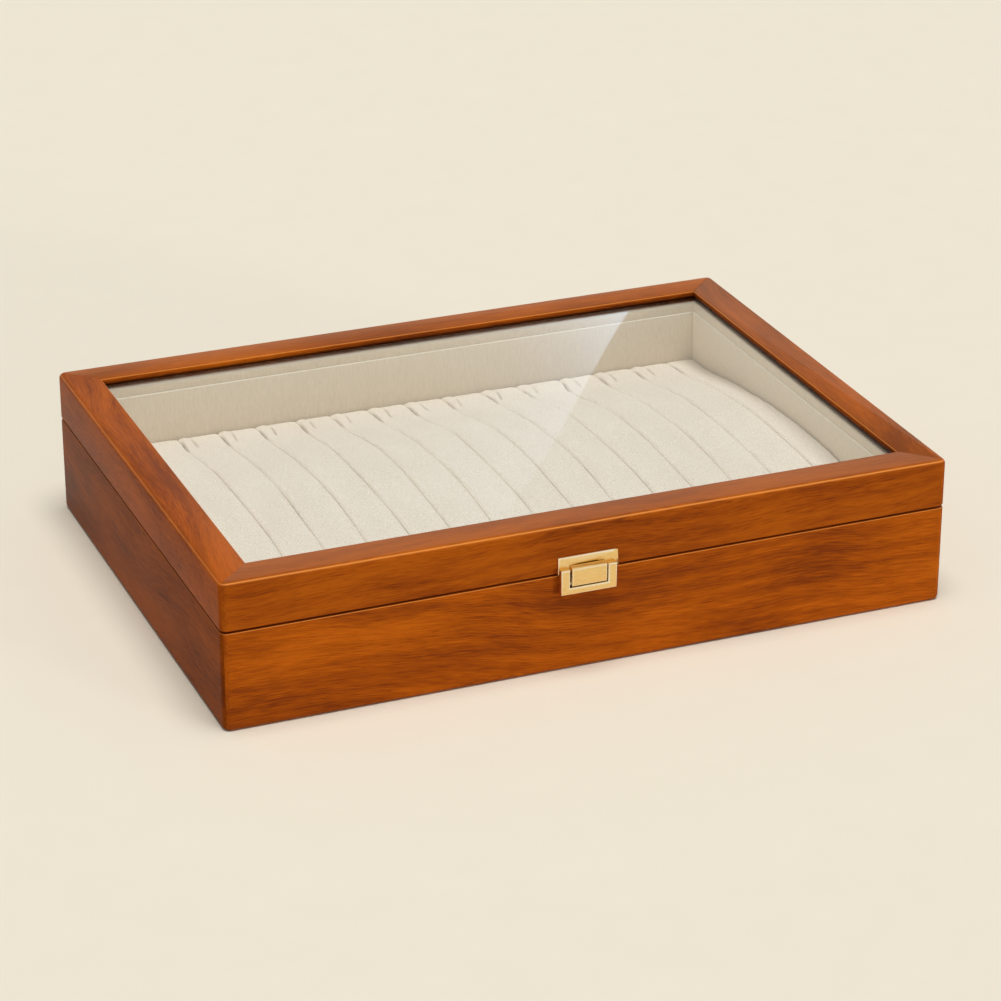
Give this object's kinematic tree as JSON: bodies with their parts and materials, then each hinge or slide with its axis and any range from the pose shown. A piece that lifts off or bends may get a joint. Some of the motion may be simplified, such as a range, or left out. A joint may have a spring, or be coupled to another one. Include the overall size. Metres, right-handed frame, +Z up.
{
  "type": "ring display box",
  "caption": "Rectangular wooden ring display box with a hinged glazed lid, parallel padded ring rolls, fabric-lined walls and a push-button clasp.",
  "frame": {"origin": "centre of the wooden footprint, on the surface that the case stands on", "axes": "+X along the width to the right seen from the front, +Y from the clasp at the front to the hinges at the back, +Z up"},
  "size_m": [0.35, 0.2644, 0.0712],
  "materials": {
    "lacquered_wood": "satin lacquer over orange-brown stain",
    "plywood": "sanded, unfinished",
    "base_felt": "pressed felt",
    "liner_fabric": "short-pile velvet on card",
    "roll_fabric": "suede-finish velvet over foam",
    "glass": "clear float glass",
    "brass": "satin, lacquered",
    "steel": "plain wire and strip"
  },
  "bodies": {
    "base": {"base_front_wall": "lacquered_wood", "base_back_wall": "lacquered_wood", "base_left_wall": "lacquered_wood", "base_right_wall": "lacquered_wood", "base_bottom_panel": "plywood", "base_felt": "base_felt", "liner_front": "liner_fabric", "liner_back": "liner_fabric", "liner_left": "liner_fabric", "liner_right": "liner_fabric", "tray_bearer_left": "plywood", "tray_bearer_middle": "plywood", "tray_bearer_right": "plywood", "tray_board": "plywood", "ring_roll_01": "roll_fabric", "ring_roll_02": "roll_fabric", "ring_roll_03": "roll_fabric", "ring_roll_04": "roll_fabric", "ring_roll_05": "roll_fabric", "ring_roll_06": "roll_fabric", "ring_roll_07": "roll_fabric", "ring_roll_08": "roll_fabric", "ring_roll_09": "roll_fabric", "ring_roll_10": "roll_fabric", "ring_roll_11": "roll_fabric", "ring_roll_12": "roll_fabric", "ring_roll_13": "roll_fabric", "ring_roll_14": "roll_fabric", "ring_roll_15": "roll_fabric", "ring_roll_16": "roll_fabric", "hinge_left_base_leaf": "brass", "hinge_right_base_leaf": "brass", "hinge_left_pin": "brass", "hinge_right_pin": "brass", "hinge_base_screws": "brass", "clasp_housing": "brass", "clasp_button_pin": "steel", "clasp_spring": "steel", "clasp_screws": "steel"},
    "lid": {"lid_front_rail": "lacquered_wood", "lid_back_rail": "lacquered_wood", "lid_left_rail": "lacquered_wood", "lid_right_rail": "lacquered_wood", "glass_pane": "glass", "lid_strip_front": "liner_fabric", "lid_strip_back": "liner_fabric", "lid_strip_left": "liner_fabric", "lid_strip_right": "liner_fabric", "hinge_left_lid_leaf": "brass", "hinge_right_lid_leaf": "brass", "hinge_lid_screws": "brass", "clasp_lid_plate": "brass"},
    "clasp_button": {"clasp_button": "brass"}
  },
  "joints": [
    {"name": "lid_hinge", "type": "hinge", "parent": "base", "child": "lid", "pos_m": [0, 0.129, 0.04735], "axis": [-1, 0, 0], "range_deg": [0, 100]},
    {"name": "button_press", "type": "hinge", "parent": "base", "child": "clasp_button", "pos_m": [-0.005, -0.131, 0.0468], "axis": [1, 0, 0], "range_deg": [0, 10], "stiffness_Nm_per_rad": 0.02, "deforming": ["clasp_spring"]}
  ]
}
